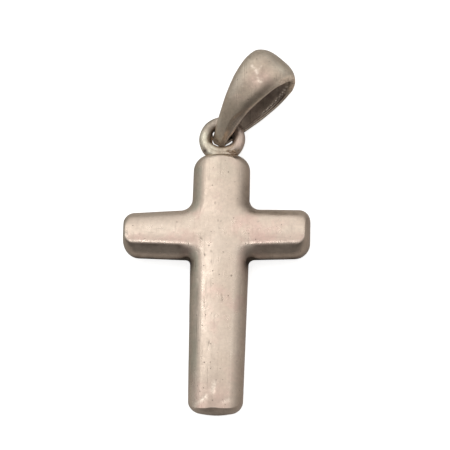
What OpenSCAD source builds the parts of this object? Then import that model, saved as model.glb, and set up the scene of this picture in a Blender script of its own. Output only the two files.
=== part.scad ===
// Cross pendant of solid silver: a pillow-shaped cross with a wire ring soldered to its top,
// and a tapered teardrop bail that hangs in the ring. It lies on its back, as it does on a table.
// Millimetres. X runs along the arms, +Y up the shaft to the bail, +Z out of the front face.
// The origin is on the flat of the back, where the centre lines of shaft and arms cross.

/* [Cross] */
// Thickness of the cross from the flat of the back to the flat of the front
thick = 3.15; // [2.9:0.05:4]
// Length of the shaft from the crossing down to the foot
foot_len = 16; // [12:0.1:22]
// Length of the shaft from the crossing up to the top end
top_len = 7.4; // [5.5:0.1:10]
// Length of the left arm from the shaft's centre line
left_len = 8.55; // [6:0.05:12]
// Length of the right arm from the shaft's centre line
right_len = 7.9; // [6:0.05:12]
// Width of the shaft at its foot
foot_w = 4.75; // [4:0.05:6]
// Width of the shaft just under the arms
waist_w = 5.15; // [4.2:0.05:6.5]
// Width of the shaft just over the arms
neck_w = 5.05; // [4.2:0.05:6.5]
// Width of the shaft at its top end
top_w = 5; // [4.2:0.05:6.5]
// Height of the arms where they leave the shaft
arm_h = 4.5; // [3.8:0.05:5.5]
// Height of the left arm at its tip
left_tip_h = 3.95; // [3.5:0.05:5.5]
// Height of the right arm at its tip
right_tip_h = 4.3; // [3.5:0.05:5.5]
// How far the foot bows out in the middle
foot_crown = 0.35; // [0.1:0.05:0.6]
// How far the top end bows out in the middle
top_crown = 0.45; // [0.1:0.05:0.7]

/* [Roundings] */
// Width of the rounded shoulder along the long sides, seen from the front
side_shoulder = 1.3; // [0.8:0.05:1.5]
// Width of the steep shoulder at the foot and the tips, seen from the front
end_shoulder = 0.4; // [0.2:0.05:0.8]
// Width of the shoulder at the top end, where the ring is let in, seen from the front
top_shoulder = 0.7; // [0.4:0.05:1]
// Radius of the arms' upper corners
tip_upper_r = 1; // [0.6:0.05:1.4]
// Radius of the arms' lower corners
tip_lower_r = 1.45; // [0.6:0.05:1.5]
// Radius of the foot's corners
foot_r = 1.05; // [0.6:0.05:1.5]
// Radius of the top end's corners
top_r = 1.4; // [0.6:0.05:1.5]
// Radius of the inner corners over the arms
upper_inner_r = 1; // [0.3:0.05:1.4]
// Radius of the inner corners under the arms
lower_inner_r = 0.5; // [0.3:0.05:1.4]
// Radius of the bows of the foot and the top end
bow_r = 6.5; // [3:0.5:8]
// Radius of the outer corners of the flat
flat_corner_r = 0.5; // [0.3:0.05:0.6]
// How much rounder the inner corners of the flat are than those of the outline
flat_inner_gain = 0.8; // [0.4:0.05:1.2]

/* [Ring] */
// Diameter of the ring's wire; its hole is worked out from the hook end of the bail
ring_wire = 1.04; // [0.8:0.02:1.2]
// How deep the ring's wire is let into the top end
ring_sink = 0.74; // [0.5:0.02:0.9]
// How far the ring stands left of the shaft's centre line
ring_left = 0.05; // [0:0.05:0.3]
// How far the solder raises the bottom of the hole
solder_rise = 0.32; // [0.1:0.02:0.4]
// How much thinner the flow of solder is than the wire
solder_thinner = 0.08; // [0.04:0.02:0.2]
// How far over the ring's centre the solder's arc is centred
solder_up = 0.65; // [0.4:0.05:0.9]

/* [Bail] */
// Length of the bail's inside, from the hook end to the crown
bail_len = 8.15; // [7:0.05:10]
// Depth value of the bail's inside; the widest gap between its leaves is about 0.8 of it
bail_depth = 4.4; // [3.8:0.1:5]
// How late the gap between the leaves opens, from 0, an oval, to 1, a long drop
bail_taper = 0.75; // [0.55:0.05:0.9]
// Width of the strap at the hook end
hook_w = 1.1; // [0.8:0.05:1.3]
// Width that the strap would reach at the crown if its sides ran on
flare_w = 5.1; // [3.6:0.1:6]
// How late the strap widens, 1 being straight sides
flare_power = 1.25; // [1.1:0.05:1.6]
// Share by which the strap is drawn in again at the crown
crown_round = 0.14; // [0:0.01:0.25]
// Thickness of the strap's middle at the hook end
hook_t = 0.58; // [0.4:0.02:0.64]
// Height of the dome of the strap at the crown, from the plane of its rims
crown_t = 0.92; // [0.6:0.02:1.1]
// Thickness of the rims at the hook end
hook_rim_t = 0.34; // [0.25:0.01:0.4]
// Thickness of the rims at the crown
crown_rim_t = 0.27; // [0.2:0.01:0.4]
// Share of the dome that is hollow on the inside
bail_hollow = 0.55; // [0:0.05:0.7]
// Squareness of the dome: 2 is round, more is flatter with steeper flanks
dome_power = 3.5; // [2:0.1:4.5]

/* [Fit of the bail in the ring] */
// Room between the ring's wire and the middle of the bail's leaves
leaf_room = 0.21; // [0.16:0.01:0.3]
// Room between the rim of the hook end and the far side of the ring's hole
hook_room = 0.14; // [0.1:0.01:0.3]
// How far the wire sits to the right of the bail's middle
wire_side = 0.18; // [0:0.02:0.2]
// How far the wire sits below the bail's middle
wire_low = 0.2; // [0.16:0.02:0.24]
// Turn of the bail to the right, seen from the front
bail_yaw = 40; // [20:1:50]
// Roll of the bail about its own length, right rim up
bail_roll = 7; // [0:0.5:9]

/* [Hidden] */
$fn = 64;

// Steps round each corner, along each straight run and up each shoulder of the cross
arc_steps = 6;
run_steps = 4;
shoulder_steps = 8;
// Stations round the bail, steps across its dome and across its inside
bail_steps = 72;
dome_steps = 8;
inside_steps = 4;
// Shares of the bail's length at which its strap is full grown and from which it is drawn in
grown_at = 0.8;
drawn_from = 0.4;
// Edge of the strap's inside as a share of its half width, and height of the strap's widest line
// as a share of the rim's thickness
inner_edge = 0.94;
widest_at = 0.12;
// Steepest tilt that the bail may lie at
tilt_most = 30;

function unit(v) = v / norm(v);
function last(list) = list[len(list) - 1];
function turned(v, angle) = [v.x * cos(angle) - v.y * sin(angle), v.x * sin(angle) + v.y * cos(angle)];
function ease(a) = a * a * (3 - 2 * a);

// Value between low and high at which f turns from negative to positive, found by halving
function root(f, low, high, turns = 16) =
    let (mid = (low + high) / 2)
    turns == 0 ? mid : f(mid) < 0 ? root(f, mid, high, turns - 1) : root(f, low, mid, turns - 1);

// Inside line of the bail at station angle t, as [along, out]: 0 is the hook end, 180 the crown.
// The share x of the length runs 0 to 1 to 0, and the half gap is x^a * (1 - x)^0.5 of the depth.
function share(t) = (1 - cos(t)) / 2;
function inside(t) = let (x = share(t))
    [bail_len * x, sign(sin(t)) * bail_depth * pow(x, (1 + bail_taper) / 2) * sqrt(1 - x)];

// The wire lies as near to the hook end as the leaves let it
wire_r = ring_wire / 2;
function nearest_leaf(along) =
    min([for (i = [0:bail_steps - 1]) norm(inside(360 * i / bail_steps) - [along, -wire_low])]);
wire_along = root(function(along) nearest_leaf(along) - wire_r - leaf_room, 0, bail_len / 2);
wire_in_bail = [wire_side, wire_along, -wire_low];

// The ring's hole is the circle that the far corners of the hook end clear by hook_room
hook_reach = wire_along - wire_r + hook_rim_t;
hook_side = hook_w / 2 + wire_side;
ring_hole = (pow(hook_reach, 2) + pow(hook_side, 2) - pow(hook_room, 2)) / (hook_reach - hook_room);
ring_r = (ring_hole + ring_wire) / 2;
mid_z = thick / 2;
ring_at = [-ring_left, top_len + ring_r + wire_r - ring_sink, mid_z];

// The solder is an arc with a longer radius than the ring's. It ends where it meets the ring's
// centre line, at solder_half from straight down as seen from the arc's own centre.
solder_wire_r = wire_r - solder_thinner / 2;
solder_r = ring_r - wire_r + solder_wire_r + solder_up - solder_rise;
solder_half = acos((pow(solder_r, 2) + pow(solder_up, 2) - pow(ring_r, 2)) / (2 * solder_r * solder_up));

// Arc that rounds the corner at b with radius r, on the way from a to c. The radius is cut down
// where it would use up more than its half of a run.
function corner_arc(a, b, c, r) =
    let (
        back = unit(a - b),
        on = unit(c - b),
        half = acos(back * on) / 2,
        reach = min(r / tan(half), 0.49 * norm(a - b), 0.49 * norm(c - b)),
        centre = b + unit(back + on) * reach / cos(half),
        spoke = b + back * reach - centre,
        side = sign(on.x * back.y - on.y * back.x),
        sweep = side * (180 - 2 * half)
    )
    [for (i = [0:arc_steps]) centre + turned(spoke, sweep * i / arc_steps)];

// Closed outline through rounded corners, each corner being [point, radius]
function rounded(corners) =
    let (
        n = len(corners),
        arcs = [for (i = [0:n - 1])
            corner_arc(corners[(i + n - 1) % n][0], corners[i][0], corners[(i + 1) % n][0], corners[i][1])]
    )
    [for (i = [0:n - 1]) let (from = last(arcs[i]), to = arcs[(i + 1) % n][0])
        each concat(arcs[i], [for (k = [1:run_steps - 1]) from + (to - from) * k / run_steps])];

// Corners of the cross, anticlockwise, drawn in by s on the long sides, by e at the foot and the
// tips and by t at the top end. The outline keeps each corner's own radius. On the flat the outer
// corners take flat_corner_r, the inner ones are rounder, and the bows shrink with the width left.
function cross_corners(s, e, t, on_flat) =
    let (
        outer = function(r) on_flat ? flat_corner_r : r,
        inner = function(r) on_flat ? r + flat_inner_gain : r,
        foot_y = e - foot_len,
        top_y = top_len - t,
        left_x = e - left_len,
        right_x = right_len - e,
        foot_share = 1 - 2 * s / foot_w,
        top_share = 1 - 2 * s / top_w,
        foot_side_y = foot_y + foot_crown * foot_share,
        top_side_y = top_y - top_crown * top_share
    )
    [
        [[neck_w / 2 - s, arm_h / 2 - s], inner(upper_inner_r)],
        [[top_w / 2 - s, top_side_y], outer(top_r)],
        [[0, top_y], bow_r * top_share],
        [[s - top_w / 2, top_side_y], outer(top_r)],
        [[s - neck_w / 2, arm_h / 2 - s], inner(upper_inner_r)],
        [[left_x, left_tip_h / 2 - s], outer(tip_upper_r)],
        [[left_x, s - left_tip_h / 2], outer(tip_lower_r)],
        [[s - waist_w / 2, s - arm_h / 2], inner(lower_inner_r)],
        [[s - foot_w / 2, foot_side_y], outer(foot_r)],
        [[0, foot_y], bow_r * foot_share],
        [[foot_w / 2 - s, foot_side_y], outer(foot_r)],
        [[waist_w / 2 - s, s - arm_h / 2], inner(lower_inner_r)],
        [[right_x, s - right_tip_h / 2], outer(tip_lower_r)],
        [[right_x, right_tip_h / 2 - s], outer(tip_upper_r)]
    ];

// The pillow: elliptical shoulders between the outline at mid thickness and the flats of front and
// back. Each flat is a fan from a point over the crossing, which sees the whole of its edge.
module cross_body() {
    edge = rounded(cross_corners(0, 0, 0, false));
    flat_edge = rounded(cross_corners(side_shoulder, end_shoulder, top_shoulder, true));
    n = len(edge);
    rows = 2 * shoulder_steps + 1;
    points = [for (j = [0:rows - 1]) let (a = 90 * (j / shoulder_steps - 1))
        for (i = [0:n - 1]) let (p = flat_edge[i] + (edge[i] - flat_edge[i]) * cos(a))
            [p.x, p.y, mid_z * (1 + sin(a))]];
    walls = [for (j = [0:rows - 2], i = [0:n - 1]) let (k = (i + 1) % n)
        each [[j * n + i, (j + 1) * n + k, j * n + k], [j * n + i, (j + 1) * n + i, (j + 1) * n + k]]];
    back = [for (i = [0:n - 1]) [rows * n, i, (i + 1) % n]];
    front = [for (i = [0:n - 1]) [rows * n + 1, (rows - 1) * n + (i + 1) % n, (rows - 1) * n + i]];
    polyhedron(points = concat(points, [[0, 0, 0], [0, 0, thick]]), faces = concat(walls, back, front));
}

module ring() {
    translate(ring_at)
        rotate_extrude()
            translate([ring_r, 0])
                circle(r = wire_r);
}

module solder() {
    translate(ring_at + [0, solder_up, 0])
        rotate([0, 0, -90 - solder_half])
            rotate_extrude(angle = 2 * solder_half)
                translate([solder_r, 0])
                    circle(r = solder_wire_r);
}

module cross_with_ring() {
    color([0.78, 0.71, 0.63])
        union() {
            cross_body();
            ring();
            solder();
        }
}

// Section of the strap at share x of the length, as [across, thickness from the inside line]
function half_width(x) = (hook_w + (flare_w - hook_w) * pow(x, flare_power)) / 2
    * (1 - crown_round * pow(max(0, (x - drawn_from) / (1 - drawn_from)), 2));
function strap(x) =
    let (
        w = half_width(x),
        grown = ease(min(1, x / grown_at)),
        rim = hook_rim_t + (crown_rim_t - hook_rim_t) * grown,
        rise = hook_t + (crown_t - hook_t) * grown - rim,
        dome = function(s) rise * (1 - pow(abs(s), dome_power))
    )
    concat(
        [for (i = [0:inside_steps]) let (s = 2 * i / inside_steps - 1)
            [inner_edge * w * s, bail_hollow * grown * dome(s)]],
        [[w, rim * widest_at]],
        [for (i = [0:dome_steps]) let (s = cos(180 * i / dome_steps)) [w * s, rim + dome(s)]],
        [[-w, rim * widest_at]]
    );

// Points of the bail before it is laid: X across the strap, Y along it, Z from back leaf to front
function outward(t) = let (d = unit(inside(t + 1) - inside(t - 1))) [-d.y, d.x];
bail_points = [for (i = [0:bail_steps - 1]) let (t = 360 * i / bail_steps, p = inside(t), o = outward(t))
    for (q = strap(share(t))) [q.x, p.x + o.x * q.y, p.y + o.y * q.y]];

// Height of the bail's lowest point over the table at a tilt, and the tilt at which it just rests
function lowest(tilt) =
    let (down = [sin(bail_roll) * cos(tilt), sin(tilt), cos(bail_roll) * cos(tilt)])
    mid_z + min([for (p = bail_points) (p - wire_in_bail) * down]);
bail_tilt = root(function(tilt) lowest(tilt), 0, tilt_most);

module bail() {
    n = len(strap(0));
    walls = [for (j = [0:bail_steps - 1], i = [0:n - 1]) let (k = (i + 1) % n, m = (j + 1) % bail_steps)
        each [[j * n + i, j * n + k, m * n + k], [j * n + i, m * n + k, m * n + i]]];
    color([0.66, 0.6, 0.53])
        translate(ring_at + ring_r * [sin(bail_yaw), cos(bail_yaw), 0])
            rotate([bail_tilt, 0, -bail_yaw])
                rotate([0, -bail_roll, 0])
                    translate(-wire_in_bail)
                        polyhedron(points = bail_points, faces = walls);
}

cross_with_ring();
bail();
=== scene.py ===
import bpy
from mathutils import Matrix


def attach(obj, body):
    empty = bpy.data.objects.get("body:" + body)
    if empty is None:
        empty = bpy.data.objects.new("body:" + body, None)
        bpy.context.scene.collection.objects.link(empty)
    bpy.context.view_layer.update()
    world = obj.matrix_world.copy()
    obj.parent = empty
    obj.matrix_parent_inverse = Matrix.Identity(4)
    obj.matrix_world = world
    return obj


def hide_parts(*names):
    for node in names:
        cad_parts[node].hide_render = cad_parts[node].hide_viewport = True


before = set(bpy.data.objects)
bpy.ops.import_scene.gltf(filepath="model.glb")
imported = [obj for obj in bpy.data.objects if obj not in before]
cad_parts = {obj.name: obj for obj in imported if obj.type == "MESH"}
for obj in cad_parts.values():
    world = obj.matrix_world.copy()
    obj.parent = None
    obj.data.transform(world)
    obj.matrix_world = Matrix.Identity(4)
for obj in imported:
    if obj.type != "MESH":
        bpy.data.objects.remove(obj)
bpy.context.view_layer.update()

import math
from types import SimpleNamespace

import bpy
import numpy as np
from mathutils import Matrix, Vector

bl_info = {
    "name": "Silver cross pendant",
    "version": (1, 0, 0),
    "blender": (4, 5, 0),
    "location": "3D View > Sidebar > Pendant",
    "description": "Worn silver cross pendant with a soldered ring and a teardrop bail, lying on its back",
    "category": "Add Mesh",
}

# Sizes and colours that a user would change


def length(name, millimetres, text):
    """A length property; its default is given in millimetres and kept in metres."""
    return bpy.props.FloatProperty(name=name, description=text, default=millimetres / 1000, min=0,
                                   precision=5, unit="LENGTH", subtype="DISTANCE")


def share(name, default, text, most=1.0):
    """A plain number between nothing and the most that makes sense."""
    return bpy.props.FloatProperty(name=name, description=text, default=default, min=0, max=most,
                                   subtype="FACTOR")


def angle(name, degrees, text):
    """An angle property; its default is given in degrees."""
    return bpy.props.FloatProperty(name=name, description=text, default=math.radians(degrees),
                                   unit="ROTATION", subtype="ANGLE")


def colour(name, default, text):
    """A colour property in linear light."""
    return bpy.props.FloatVectorProperty(name=name, description=text, default=default, min=0, max=1,
                                         size=3, subtype="COLOR")


def watts(name, default, text):
    """The power of a lamp."""
    return bpy.props.FloatProperty(name=name, description=text, default=default, min=0, unit="POWER")


class CrossSizes(bpy.types.PropertyGroup):
    """Sizes of the pillow-shaped cross."""
    thick: length("Thickness", 3.15, "From the flat of the back to the flat of the front")
    foot_len: length("Foot length", 16.0, "From the crossing down to the foot")
    top_len: length("Top length", 7.4, "From the crossing up to the top end")
    left_len: length("Left arm", 8.55, "From the centre line of the shaft to the left tip")
    right_len: length("Right arm", 7.9, "From the centre line of the shaft to the right tip")
    foot_w: length("Foot width", 4.75, "Width of the shaft at its foot")
    waist_w: length("Waist width", 5.15, "Width of the shaft just under the arms")
    neck_w: length("Neck width", 5.05, "Width of the shaft just over the arms")
    top_w: length("Top width", 5.0, "Width of the shaft at its top end")
    arm_h: length("Arm height", 4.5, "Height of the arms where they leave the shaft")
    left_tip_h: length("Left tip height", 3.95, "Height of the left arm at its tip")
    right_tip_h: length("Right tip height", 4.3, "Height of the right arm at its tip")
    foot_crown: length("Foot crown", 0.35, "How far the foot bows out")
    top_crown: length("Top crown", 0.45, "How far the top end bows out")
    side_shoulder: length("Side shoulder", 1.3, "Width of the rounded shoulder along the long sides")
    end_shoulder: length("End shoulder", 0.4, "Width of the steep shoulder at the foot and the tips")
    top_shoulder: length("Top shoulder", 0.7, "Width of the shoulder at the top end, under the solder")
    tip_upper_r: length("Upper tip radius", 1.0, "Radius of the upper corners of the arms")
    tip_lower_r: length("Lower tip radius", 1.45, "Radius of the lower corners of the arms")
    foot_r: length("Foot radius", 1.05, "Radius of the corners of the foot")
    top_r: length("Top radius", 1.4, "Radius of the corners of the top end")
    upper_inner_r: length("Upper inner radius", 1.0, "Radius of the inner corners over the arms")
    lower_inner_r: length("Lower inner radius", 0.5, "Radius of the inner corners under the arms")
    bow_r: length("Bow radius", 6.5, "Radius of the bows of the foot and the top end")
    flat_corner_r: length("Flat corner radius", 0.5, "Radius of the outer corners of the flat")
    flat_inner_gain: length("Flat inner gain", 0.8, "How much rounder the inner corners of the flat are")
    crown_dip: length("Crown dip", 0.08, "How far the front sinks from the crossing's height to its edges")
    wave: length("Waviness", 0.018, "Depth of the soft waves that hand finishing left in the front")
    crisp: share("Crispness", 1.0, "How crisp the edge along the underside of the arms is")


class RingSizes(bpy.types.PropertyGroup):
    """Sizes of the wire ring and its solder."""
    wire: length("Wire", 1.04, "Diameter of the ring's wire")
    sink: length("Sink", 0.74, "How deep the wire is let into the top end")
    left: length("Left", 0.05, "How far the ring stands left of the centre line")
    hook_room: length("Hook room", 0.14, "Room between the hook end's rim and the ring's hole")
    solder_rise: length("Solder rise", 0.38, "How far the solder raises the bottom of the hole")
    solder_thinner: length("Solder thinner", 0.08, "How much thinner the flow of solder is than the wire")
    solder_up: length("Solder up", 0.65, "How far over the ring's centre the solder's arc is centred")
    right_swell: length("Right swell", 0.12, "How much further in the ring's right inside stands")
    ledge: length("Ledge", 0.36, "How far the solder stands out under the left of the hole")


class BailSizes(bpy.types.PropertyGroup):
    """Sizes and place of the teardrop bail."""
    inside_len: length("Inside length", 8.15, "From the hook end to the crown, inside")
    depth: length("Depth", 4.4, "Depth value of the inside; the widest gap is about 0.8 of it")
    taper: share("Taper", 0.75, "How late the gap between the leaves opens")
    hook_w: length("Hook width", 1.1, "Width of the strap at the hook end")
    flare_w: length("Flare width", 5.1, "Width that the strap would reach if its sides ran on")
    flare_power: share("Flare power", 1.25, "How late the strap widens", 3.0)
    crown_round: share("Crown rounding", 0.14, "Share by which the strap is drawn in at the crown")
    hook_t: length("Hook thickness", 0.58, "Thickness of the strap's middle at the hook end")
    crown_t: length("Crown thickness", 0.92, "Height of the dome at the crown")
    hook_rim_t: length("Hook rim", 0.34, "Thickness of the rims at the hook end")
    crown_rim_t: length("Crown rim", 0.27, "Thickness of the rims at the crown")
    hollow: share("Hollow", 0.55, "Share of the dome that is hollow on the inside")
    dome_power: share("Dome power", 3.5, "Squareness of the dome", 6.0)
    leaf_room: length("Leaf room", 0.21, "Room between the wire and the middle of the leaves")
    wire_side: length("Wire side", 0.18, "How far the wire sits right of the bail's middle")
    wire_low: length("Wire low", 0.2, "How far the wire sits below the bail's middle")
    yaw: angle("Yaw", 40, "Turn of the bail to the right, seen from the front")
    roll: angle("Roll", 7, "Roll of the bail about its own length")
    groove: length("Groove", 0.055, "Hollow of the filed facet beside the hook end")
    flange: length("Flange", 0.25, "How much wider the front leaf is on the right, beside the wire")
    flare: length("Flare", 0.24, "How far the inside flares out to the rim at the crown")
    lip: length("Lip", 0.06, "Depth of the step inside the back leaf's rim")
    tip_wider: length("Tip widening", 0.035, "How much wider the hook end's left side is at its tip")
    tip_blunt: length("Tip blunting", 0.1, "How much the right of the hook end's tip is filed back")
    crown_band: length("Crown band", 0.16, "How much further in the rim stands at the crown's right")
    rough: length("Roughened inside", 0.016, "Height of the file marks in the back leaf and on the facet")


class SilverLook(bpy.types.PropertyGroup):
    """Colours and gloss of the worn silver."""
    clean: colour("Clean silver", (0.83, 0.70, 0.59), "Satin silver of the flats")
    warm: colour("Warm silver", (0.785, 0.65, 0.54), "Silver with a warm film")
    rosy: colour("Rosy silver", (0.80, 0.59, 0.51), "Pinkish bloom of the alloy's copper")
    # Brown for real tarnish and for painted shade in the steep, low, inner and hidden places
    tarnish: colour("Tarnish", (0.225, 0.172, 0.142), "Brown tarnish in the steep and hidden places")
    # Greenish film, on the cross's left shoulder also painted shade that narrows the highlight
    film: colour("Greenish film", (0.64, 0.60, 0.49), "Grey-green film on the left sides of the cross")
    # Lighter than the silver: partly real film, partly painted light on the ring's upper left
    ring_film: colour("Ring film", (0.93, 0.90, 0.73), "Pale greenish film on the ring")
    # Lighter than the bail's silver: partly real film, partly painted light on the bail's left
    bail_film: colour("Bail edge film", (0.80, 0.71, 0.59), "Pale film round the bail's edges")
    # Painted deep shade: near-black where the tarnish-and-shade value passes 0.8, inside the bail, inside the
    # ring and under the arms, partly real blackening
    soot: colour("Soot", (0.085, 0.063, 0.048), "Nearly black tarnish inside the bail and the ring")
    # Bare silver for real worn edges and dings, also painted as glints, highlight lines and lit rims
    bright: colour("Bare silver", (1.0, 0.87, 0.745), "Bare metal on edges and in fresh dings")
    solder: colour("Solder", (0.44, 0.33, 0.24), "Golden brown crust on the solder")
    bail_clean: colour("Bail silver", (0.68, 0.555, 0.445), "Duller silver of the bail")
    bail_warm: colour("Bail film", (0.58, 0.49, 0.37), "Greenish tan film on the bail")
    roughness: share("Roughness", 0.3, "Roughness of the satin silver")


class StageLook(bpy.types.PropertyGroup):
    """Camera and light."""
    azimuth: angle("Azimuth", 27, "Side from which the camera looks, from the foot to the right")
    elevation: angle("Elevation", 73.4, "Height of the camera over the table")
    roll: angle("Roll", 1.607, "Turn of the camera about its own axis")
    distance: length("Distance", 200, "From the camera to the crossing")
    pixel: length("Pixel", 0.0875, "Width of one of the picture's 450 pixels at the crossing")
    floor: colour("Floor", (0.93, 0.93, 0.93), "Plain pale floor")
    key: watts("Key light", 0.052, "Power of the light over the left shoulder")
    second: watts("Second light", 0.07, "Power of the light just on the foot's side of overhead")


GROUPS = {"pendant_cross": CrossSizes, "pendant_ring": RingSizes, "pendant_bail": BailSizes,
          "pendant_silver": SilverLook, "pendant_stage": StageLook}


def values(group):
    """The group's numbers, with lengths in millimetres and angles in radians."""
    own = getattr(bpy.context.scene, group)
    found = {}
    for prop in own.bl_rna.properties:
        if prop.type == "FLOAT":
            value = getattr(own, prop.identifier)
            scale = 1000 if prop.unit == "LENGTH" else 1
            found[prop.identifier] = tuple(value) if prop.is_array else value * scale
    return SimpleNamespace(**found)


# Plain geometry helpers, all in millimetres


def ease(low, high, x):
    """Smooth step: nothing below low, one above high, and 3a^2 - 2a^3 between them."""
    a = np.clip((x - low) / (high - low), 0, 1)
    return a * a * (3 - 2 * a)


def bell(x, middle, width):
    """One at the middle, falling off to both sides as exp(-(distance / width)^2)."""
    return np.exp(-((x - middle) / width) ** 2)


def around(steps):
    """Angles of that many even steps round a circle."""
    return np.linspace(0, 2 * np.pi, steps, endpoint=False)


def unit(vectors):
    """Each vector over its own length."""
    return vectors / np.maximum(np.linalg.norm(vectors, axis=-1, keepdims=True), 1e-12)


def halve(f, low, high, turns=24):
    """Where f turns from negative to positive, found by halving the span between low and high."""
    for _ in range(turns):
        middle = (low + high) / 2
        low, high = (middle, high) if f(middle) < 0 else (low, middle)
    return (low + high) / 2


def even(line, stations):
    """Points of an open line at the given shares of its own length."""
    along = np.concatenate([[0], np.cumsum(np.linalg.norm(np.diff(line, axis=0), axis=1))])
    return np.stack([np.interp(stations * along[-1], along, line[:, k]) for k in range(line.shape[1])], 1)


def turned(points, first, second, turn):
    """Points turned by an angle in the plane of two of their coordinates."""
    made = points.copy()
    c, s = math.cos(turn), math.sin(turn)
    made[..., first] = points[..., first] * c - points[..., second] * s
    made[..., second] = points[..., first] * s + points[..., second] * c
    return made


def grid_normals(grid, closed=False):
    """Unit normals of a surface whose columns close on themselves: the step across the columns crossed
    with the step along the rows, which points outwards where the columns run anticlockwise and the rows
    run up. Closed also joins the last row to the first."""
    across = np.roll(grid, -1, 1) - np.roll(grid, 1, 1)
    along = np.roll(grid, -1, 0) - np.roll(grid, 1, 0) if closed else np.gradient(grid, axis=0)
    return unit(np.cross(across, along))


def tube_faces(rows, cols, start=0, closed=False):
    """Quads between the rows of a grid whose columns close on themselves; closed also joins the last
    row to the first."""
    j, i = np.meshgrid(np.arange(rows if closed else rows - 1), np.arange(cols), indexing="ij")
    nxt_j, nxt_i = (j + 1) % rows, (i + 1) % cols
    quads = np.stack([j * cols + i, j * cols + nxt_i, nxt_j * cols + nxt_i, nxt_j * cols + i], -1)
    return (quads.reshape(-1, 4) + start).tolist()


def fan_faces(row_start, cols, pole, ends_up):
    """Triangles that close a row of the grid with one pole."""
    i = np.arange(cols)
    a, b = row_start + i, row_start + (i + 1) % cols
    p = np.full(cols, pole)
    return (np.stack([a, b, p], 1) if ends_up else np.stack([p, b, a], 1)).tolist()


def capped_tube(rows, cols, start=0):
    """Faces of a grid that is closed by two poles, which come straight after its points."""
    poles = start + rows * cols
    return tube_faces(rows, cols, start) + fan_faces(start, cols, poles, False) \
        + fan_faces(poles - cols, cols, poles + 1, True)


def make_piece(name, points, faces, attributes, material):
    """One mesh object at the origin from points in millimetres, with its point attributes."""
    mesh = bpy.data.meshes.new(name)
    mesh.from_pydata((points / 1000).tolist(), [], faces)
    mesh.validate()
    for key, numbers in attributes.items():
        layer = mesh.attributes.new(key, "FLOAT", "POINT")
        layer.data.foreach_set("value", np.clip(numbers, 0, 1).astype(np.float32).ravel())
    mesh.polygons.foreach_set("use_smooth", np.ones(len(mesh.polygons), bool))
    mesh.materials.append(material)
    mesh.update()
    piece = bpy.data.objects.new(name, mesh)
    bpy.context.scene.collection.objects.link(piece)
    return piece


def line_marks(p, table):
    """Strength round a few straight lines: exp(-(distance from the line / width)^2), the largest one.
    A row of the table holds both ends of a line, its half width and its strength."""
    made = np.zeros(p.shape[:-1])
    for ax, ay, az, bx, by, bz, wide, strength in table:
        a, b = np.array([ax, ay, az]), np.array([bx, by, bz])
        along = np.clip(((p - a) @ (b - a)) / ((b - a) @ (b - a)), 0, 1)[..., None]
        apart = np.linalg.norm(p - a - along * (b - a), axis=-1)
        made = np.maximum(made, strength * bell(apart, 0, wide))
    return made


# Cross

ARC_STEPS = 14
# Steps along the run that follows each of the 14 corners
RUN_STEPS = [26, 8, 8, 26, 40, 12, 40, 92, 10, 10, 92, 40, 12, 40]
SHOULDER_ROWS, BACK_ROWS, FRONT_SHARES, BACK_SHARES = 24, 10, 44, 8
ELLIPSE_SAMPLES, FACET_SAMPLES, LEAD_SAMPLES, PROFILE_SAMPLES, SOFTENED_OVER = 241, 200, 60, 401, 27
# How the rows crowd towards an edge, and the distance past which the front sinks no further
SHOULDER_CROWDING, FRONT_CROWDING, FURTHEST = 1.15, 1.5, 1.6

# Fresh dings: x, y, z of the middle, turn of the long way from +X in degrees, half length, half width
# and depth, in millimetres
DINGS = [
    (0.06, -13.92, 3.1, 76, 0.42, 0.17, 0.035), (-1.15, -15.05, 3.0, 38, 0.6, 0.18, 0.04),
    (-8.1, -0.3, 2.8, 60, 0.28, 0.16, 0.06), (-4.9, 0.15, 3.12, 6, 0.62, 0.07, 0.022),
    (-1.72, -1.92, 3.0, 70, 0.13, 0.07, 0.05), (-0.56, -10.4, 3.12, 80, 0.12, 0.08, 0.04),
    (0.54, -6.04, 3.12, 30, 0.09, 0.07, 0.04), (1.02, -7.81, 3.12, 30, 0.08, 0.07, 0.035),
    (1.1, -15.0, 3.05, 20, 0.5, 0.2, 0.03), (-1.55, -7.3, 3.0, 85, 0.25, 0.1, 0.03),
    (-1.6, -4.4, 3.0, 95, 0.2, 0.08, 0.03),
]
DING_HEIGHT, BARE_AT_DEPTH = 0.8, 0.05

# Painted glints: bare streaks on the cross where it glints, at the left tip, along the arms, on the foot and
# down the left of the shaft: both ends in millimetres, half width and bareness
PAINTED_GLINT_STREAKS = [
    (-8.25, 0.05, 2.5, -7.72, -0.52, 2.85, 0.12, 1.0), (-6.7, 0.45, 3.1, -4.9, 0.5, 3.1, 0.16, 0.2),
    (0.05, -13.5, 3.1, -0.1, -14.2, 3.08, 0.22, 1.0), (-1.7, -15.5, 2.85, -0.6, -14.65, 3.1, 0.2, 1.0),
    (-1.5, -12.6, 2.9, -1.35, -14.9, 2.9, 0.28, 0.4), (-2.0, -13.6, 2.4, -1.75, -15.2, 2.6, 0.4, 0.5),
    (-1.25, -2.6, 3.1, -1.2, -8.5, 3.1, 0.12, 0.25), (2.0, -0.6, 3.0, 3.7, -0.55, 2.95, 0.1, 0.3),
]

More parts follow.
